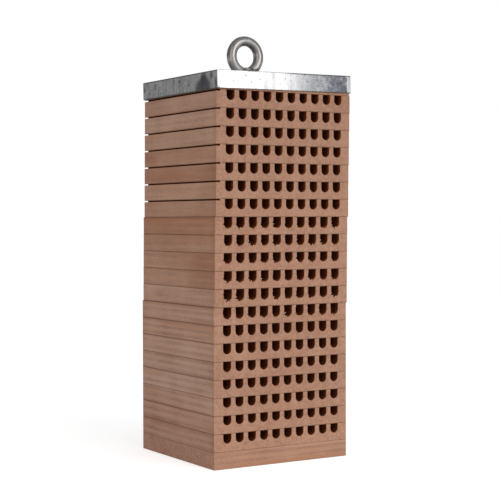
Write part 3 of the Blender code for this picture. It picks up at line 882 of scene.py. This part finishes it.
def make_eye(material):
    """Ring, boss and collar grown together as one forged piece, with soft fillets where they meet."""
    bpy.ops.mesh.primitive_torus_add(major_radius=EYE_RING_RADIUS, minor_radius=EYE_BAR_RADIUS,
                                     major_segments=128, minor_segments=48)
    eye = bpy.context.object
    eye.name = eye.data.name = "eye"
    eye.data.transform(Matrix.Diagonal((1, 1, EYE_BAR_HALF_DEPTH / EYE_BAR_RADIUS, 1)))
    eye.rotation_euler = (math.pi / 2, 0, 0)
    eye.location = (ROD_AXIS.x, ROD_AXIS.y, RING_MIDDLE)
    bpy.context.view_layer.update()
    eye.data.transform(eye.matrix_world)
    eye.matrix_world = Matrix.Identity(4)

    seat = EYE_LOW.z
    boss_top = RING_MIDDLE - EYE_RING_RADIUS + EYE_BAR_RADIUS - 0.0008
    boss, collar, bore = EYE_BOSS_RADIUS, EYE_COLLAR_RADIUS, EYE_BORE_RADIUS
    outline = ((bore, boss_top - 0.0006), (bore + 0.0006, boss_top), (boss, boss_top), (boss, seat + 0.0080),
               (collar - 0.0004, seat + 0.0052), (collar, seat + 0.0046), (collar, seat + 0.0005),
               (collar - 0.0005, seat), (bore + 0.0005, seat), (bore, seat + 0.0005))
    angles = [math.tau * j / FOOT_STEPS for j in range(FOOT_STEPS)]
    shell = Shell()
    shell.tube([shell.row(k, [(*around(ROD_AXIS, radius, angle), z) for angle in angles])
                for k, (radius, z) in enumerate(outline)])
    foot = shell.build("eye_foot", (material,))
    shell = Shell()
    for j, angle in enumerate(angles):
        for k, z in enumerate((seat - 0.002, boss_top + 0.004)):
            shell.put((k, j), *around(ROD_AXIS, bore, angle), z)
    rows = [[(k, j) for j in range(FOOT_STEPS)] for k in range(2)]
    shell.strip(*rows, closed=True)
    for row in rows:
        shell.face(*row)
    drill = shell.build("eye_drill", (material,))
    for operation, other in (("UNION", foot), ("DIFFERENCE", drill)):
        step = eye.modifiers.new(operation.lower(), "BOOLEAN")
        step.operation = operation
        step.object = other
        step.solver = "EXACT"
    apply_modifiers(eye)
    for helper in (foot, drill):
        bpy.data.objects.remove(helper)

    remesh = eye.modifiers.new("even skin", "REMESH")
    remesh.mode = "VOXEL"
    remesh.voxel_size = SKIN_VOXEL
    soften = eye.modifiers.new("soft fillets", "SMOOTH")
    soften.factor = 0.5
    soften.iterations = 7
    apply_modifiers(eye)
    skin = eye.data
    skin.name = "eye"
    skin.materials.clear()
    skin.materials.append(material)
    # Forging waves, always inwards
    for vertex, normal in zip(skin.vertices, [v.normal.copy() for v in skin.vertices]):
        wave = noise.noise(vertex.co * 95 + Vector((3.1, 0.7, 5.2)))
        vertex.co -= normal * FORGING_WAVE * (1 + wave)
    skin.shade_smooth()
    for collection in eye.users_collection:
        collection.objects.unlink(eye)
    show(eye)
    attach(eye, "root")
    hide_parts("eye_nut")


def steel(name, colour, roughness, scratch, grey, wear_and_painted_light=False):
    """Satin steel. The eye's has painted light low on its ring, and painted shade on one side of its foot.
    """
    material, tree, shader, place = new_material(name, metallic=1.0)
    cloud = fine_noise(tree, place, 150, 4, 0.6, 0.3)
    grain = fine_noise(tree, stretched(tree, place, (0, 0, 0), (1, 1, 0.35)), 1400, 3, 0.6)
    factor = plus(tree, times(tree, cloud, 0.7), times(tree, grain, 0.3))
    tone = ramp(tree, factor, [(0.32, tinted(colour, grey)), (0.50, colour), (0.68, tinted(colour, 1.2))])
    dulled = remap(tree, cloud, (0.3, 0.7), (roughness * 0.7, roughness * 1.35))
    if wear_and_painted_light:
        # Painted light: the lower part of the ring is lighter, and also rougher
        level = component(tree, place, "Z")
        painted_light_low = flip(tree, band(tree, level, RING_MIDDLE - 0.017, RING_MIDDLE + 0.002))
        tone = mix(tree, painted_light_low, tone, tinted(colour, 1.30))
        dulled = plus(tree, dulled, times(tree, painted_light_low, 0.20))
        # Painted shade on one side of the foot, below the boss
        aside = vector_math(tree, "DOT_PRODUCT", place, PAINTED_SHADE_SIDE)
        reach = sum(a * b for a, b in zip(PAINTED_SHADE_SIDE, ROD_AXIS))
        dark = times(tree, band(tree, aside, reach - 0.0060, reach - 0.0025),
                     flip(tree, band(tree, level, EYE_LOW.z + 0.0102, EYE_LOW.z + 0.0120)))
        tone = mix(tree, dark, tone, tinted(colour, 0.52))
    connect(tree, shader, tone, factor, scratch, 0.0002, dulled)
    return material


# All the pieces

# Board number: tone, streaks, slant and figure of its wood, and its dark bands below and above
TONES = {
    1: ((0.497, 0.286, 0.203), 0.7, 0.00, 0.15, 0, 0),
    2: ((0.543, 0.327, 0.235), 0.7, 0.01, 0.15, 0, 0),
    3: ((0.522, 0.309, 0.216), 0.8, 0.00, 0.15, 0, 0),
    4: ((0.493, 0.269, 0.178), 0.9, 0.01, 0.20, 0, 0.003),
    5: ((0.460, 0.244, 0.158), 0.9, -0.01, 0.20, 0, 0),
    6: ((0.548, 0.320, 0.221), 0.7, 0.00, 0.15, 0, 0),
    7: ((0.491, 0.270, 0.184), 0.7, 0.01, 0.15, 0, 0),
    8: ((0.458, 0.234, 0.147), 0.8, 0.00, 0.15, 0.001, 0.003),
    9: ((0.487, 0.269, 0.181), 0.8, 0.00, 0.15, 0, 0.002),
    10: ((0.512, 0.292, 0.195), 0.9, -0.01, 0.20, 0, 0.003),
    11: ((0.526, 0.308, 0.210), 0.9, 0.02, 0.20, 0.003, 0.003),
    12: ((0.538, 0.323, 0.230), 0.8, 0.02, 0.20, 0.004, 0),
    13: ((0.542, 0.324, 0.228), 0.9, 0.02, 0.25, 0.003, 0.005),
    14: ((0.536, 0.320, 0.224), 0.85, 0.03, 0.50, 0.002, 0.005),
    15: ((0.547, 0.332, 0.241), 0.80, 0.03, 0.38, 0, 0.003),
    16: ((0.525, 0.317, 0.233), 0.75, 0.02, 0.38, 0.002, 0.003),
    17: ((0.548, 0.338, 0.256), 0.75, 0.03, 0.32, 0, 0.002),
    18: ((0.526, 0.313, 0.223), 0.75, 0.02, 0.36, 0.003, 0),
    19: ((0.517, 0.298, 0.207), 0.80, 0.03, 0.30, 0.002, 0.002),
    20: ((0.502, 0.289, 0.200), 0.80, 0.02, 0.30, 0, 0.003),
}
END_GRAIN = (0.440, 0.238, 0.158)
# End grain painted a little darker under the roof, as painted shade, and lighter near the floor, as painted
# light
END_GRAIN_PAINTED_LIGHT = (0.87, 0.89, 0.89, 0.92, 0.94, 0.95, 0.97, 0.98, 0.98, 0.99,
              1.01, 1.02, 1.02, 1.00, 1.03, 1.01, 1.01, 1.03, 1.06, 1.11)
REDDISH = (0.33, 0.135, 0.080)
# Board number: distance from the front, radius and strength of a reddish smudge on the left side
SMUDGES = {4: (0.143, 0.012, 0.5), 5: (0.012, 0.016, 0.4), 6: (0.012, 0.014, 0.45), 8: (0.100, 0.020, 0.25),
           10: (0.020, 0.030, 0.7), 11: (0.022, 0.028, 0.6), 12: (0.118, 0.006, 0.5)}

channel_shaded_wood = channel("channel_shaded_wood")
torn_wood = mottled("torn_fibres", (0.66, 0.44, 0.31), (0.86, 0.64, 0.47), 1800, 3, 0.8, 0.5)
# Near-black wood in the rebate slots: painted shade
slot_painted_shade = mottled("rebate_painted_shade", (0.120, 0.020, 0.004), (0.210, 0.040, 0.008), 500, 4, 0.85, 0.0)
for number, (tone, streaks, slant, figure, *bands) in TONES.items():
    low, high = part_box(f"nest_board_{number:02d}")
    smudge = None
    if number in SMUDGES:
        along, radius, strength = SMUDGES[number]
        smudge = ((low.x, low.y + along, (low.z + high.z) / 2), radius, strength, REDDISH)
    cut = tinted(END_GRAIN, END_GRAIN_PAINTED_LIGHT[number - 1])
    material = wood(f"board_wood_{number:02d}", tone, cut, 40 + number, "Y", streaks, slant, figure,
                    (low, high), bands, smudge)
    make_board(number, (material, channel_shaded_wood, torn_wood, slot_painted_shade))

base_low, base_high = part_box("base_board")
middle = (base_low + base_high) / 2
half = (base_high - base_low) / 2
base_place = Matrix.Translation((middle.x, middle.y, 0))
hole = (ROD_AXIS.x - middle.x, ROD_AXIS.y - middle.y)
base = make_plate("base", half.x, half.y, base_low.z, base_high.z, base_place, hole, RECESS_RADIUS,
                  base_high.z - RECESS_CEILING,
                  wood("base_wood", (0.490, 0.275, 0.1845), (0.480, 0.261, 0.179), 90, "X",
                       slant=0.004, figure=0.30))
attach(base, "root")
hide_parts("base_board")

lid_low, lid_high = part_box("lid_board")
lid_place = Matrix.Translation((ROD_AXIS.x, ROD_AXIS.y, 0)) @ Matrix.Rotation(ROOF_TURN, 4, "Z")
# The lid's long-grain tone is dark: painted shade for the rim's shadow on the strip under it, with some dirt
lid = make_plate("lid", LID_HALF_WIDTH, LID_HALF_DEPTH, lid_low.z - JOINT_FILL, lid_high.z, lid_place,
                 (0, 0), WOOD_BORE_RADIUS, lid_high.z - 0.006,
                 wood("lid_wood", (0.150, 0.066, 0.034), (0.427, 0.210, 0.131), 91,
                      streaks=0.8, corners=(lid_low, lid_high)))
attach(lid, "root")
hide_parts("lid_board")

make_roof(zinc("roof_zinc"))
make_eye(steel("eye_satin_steel", (0.280, 0.265, 0.257), 0.28, 0.25, 0.72, wear_and_painted_light=True))

fixing = steel("fixing_plated_steel", (0.60, 0.60, 0.58), 0.35, 0.3, 0.7)
for name in ("threaded_rod", "base_washer", "base_nut"):
    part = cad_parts[name]
    part.data.materials.clear()
    part.data.materials.append(fixing)


# Floor, world, light and camera, which was fitted to the photograph

FLOOR_SIZE = 40
FLOOR_DROP = 0.0002     # below the base
FLOOR_GLOW = 0.585      # lifts the floor to the background's white
TENT_BRIGHT_SIDE = (0.12, -0.95, 0.28)
TENT_LEVELS = (0.24, 0.70)
CAMERA_LENS = 96.41
CAMERA_SENSOR = 36
CAMERA_FROM_BASE = (-0.65865, -1.14528, 0.24871)
CAMERA_YAW, CAMERA_PITCH, CAMERA_ROLL = 31.4601, 1.3080, -0.1299


def empty_tree(holder):
    holder.use_nodes = True
    holder.node_tree.nodes.clear()
    return holder.node_tree


def make_floor():
    """White paper that glows a little, for the camera and in reflections only."""
    bpy.ops.mesh.primitive_plane_add(size=FLOOR_SIZE, location=(0, 0, -FLOOR_DROP))
    floor = bpy.context.object
    floor.name = "floor"
    material = bpy.data.materials.new("floor_paper")
    tree = empty_tree(material)
    paper = node(tree, "ShaderNodeBsdfDiffuse", None, Color=(0.80, 0.80, 0.80, 1)).outputs[0]
    glow = node(tree, "ShaderNodeEmission", None, Color=(1, 1, 1, 1), Strength=FLOOR_GLOW).outputs[0]
    lifted = node(tree, "ShaderNodeAddShader")
    path = node(tree, "ShaderNodeLightPath")
    seen = math_node(tree, "ADD", path.outputs["Is Camera Ray"], path.outputs["Is Glossy Ray"], clamp=True)
    choice = node(tree, "ShaderNodeMixShader", None, Fac=seen)
    for socket, link in ((lifted.inputs[0], paper), (lifted.inputs[1], glow), (choice.inputs[1], paper),
                         (choice.inputs[2], lifted.outputs[0])):
        tree.links.new(link, socket)
    node(tree, "ShaderNodeOutputMaterial", None, Surface=choice.outputs[0])
    floor.data.materials.append(material)


def make_world():
    """White for the camera. The rest sees a light tent, bright in front and dim behind on the left."""
    world = bpy.data.worlds.new("studio")
    bpy.context.scene.world = world
    tree = empty_tree(world)
    way = node(tree, "ShaderNodeTexCoord").outputs["Generated"]
    facing = vector_math(tree, "DOT_PRODUCT", way, Vector(TENT_BRIGHT_SIDE).normalized())
    strength = node(tree, "ShaderNodeMix", {"data_type": "FLOAT"})
    plug(tree, strength.inputs[0], node(tree, "ShaderNodeLightPath").outputs["Is Camera Ray"])
    plug(tree, strength.inputs[2], remap(tree, facing, (-0.9, 0.9), TENT_LEVELS, "SMOOTHSTEP"))
    plug(tree, strength.inputs[3], 1.0)
    background = node(tree, "ShaderNodeBackground", None, Color=(1, 1, 1, 1), Strength=strength.outputs[0])
    node(tree, "ShaderNodeOutputWorld", None, Surface=background.outputs[0])


def add_light(name, place, target, size, power):
    data = bpy.data.lights.new(name, "AREA")
    data.shape = "RECTANGLE"
    data.size, data.size_y = size
    data.energy = power
    lamp = bpy.data.objects.new(name, data)
    lamp.location = place
    lamp.rotation_mode = "QUATERNION"
    lamp.rotation_quaternion = (Vector(target) - Vector(place)).to_track_quat("-Z", "Y")
    show(lamp)


def make_camera():
    data = bpy.data.cameras.new("camera")
    data.lens = CAMERA_LENS
    data.sensor_width = CAMERA_SENSOR
    camera = bpy.data.objects.new("camera", data)
    yaw, pitch, roll = [math.radians(angle) for angle in (CAMERA_YAW, CAMERA_PITCH, CAMERA_ROLL)]
    place = base_low + Vector(CAMERA_FROM_BASE)
    camera.matrix_world = (Matrix.Translation(place) @ Matrix.Rotation(-yaw, 4, "Z")
                           @ Matrix.Rotation(math.pi / 2 - pitch, 4, "X") @ Matrix.Rotation(roll, 4, "Z"))
    show(camera)
    bpy.context.scene.camera = camera


make_floor()
make_world()
add_light("softbox", (0.36, -1.50, 1.00), (0.36, 0, 1.00), (1.10, 1.20), 11.5)
add_light("side_softbox", (-1.35, -0.95, 0.60), (0, 0, 0.35), (0.45, 1.80), 3.3)
make_camera()
bpy.context.scene.view_settings.view_transform = "Standard"
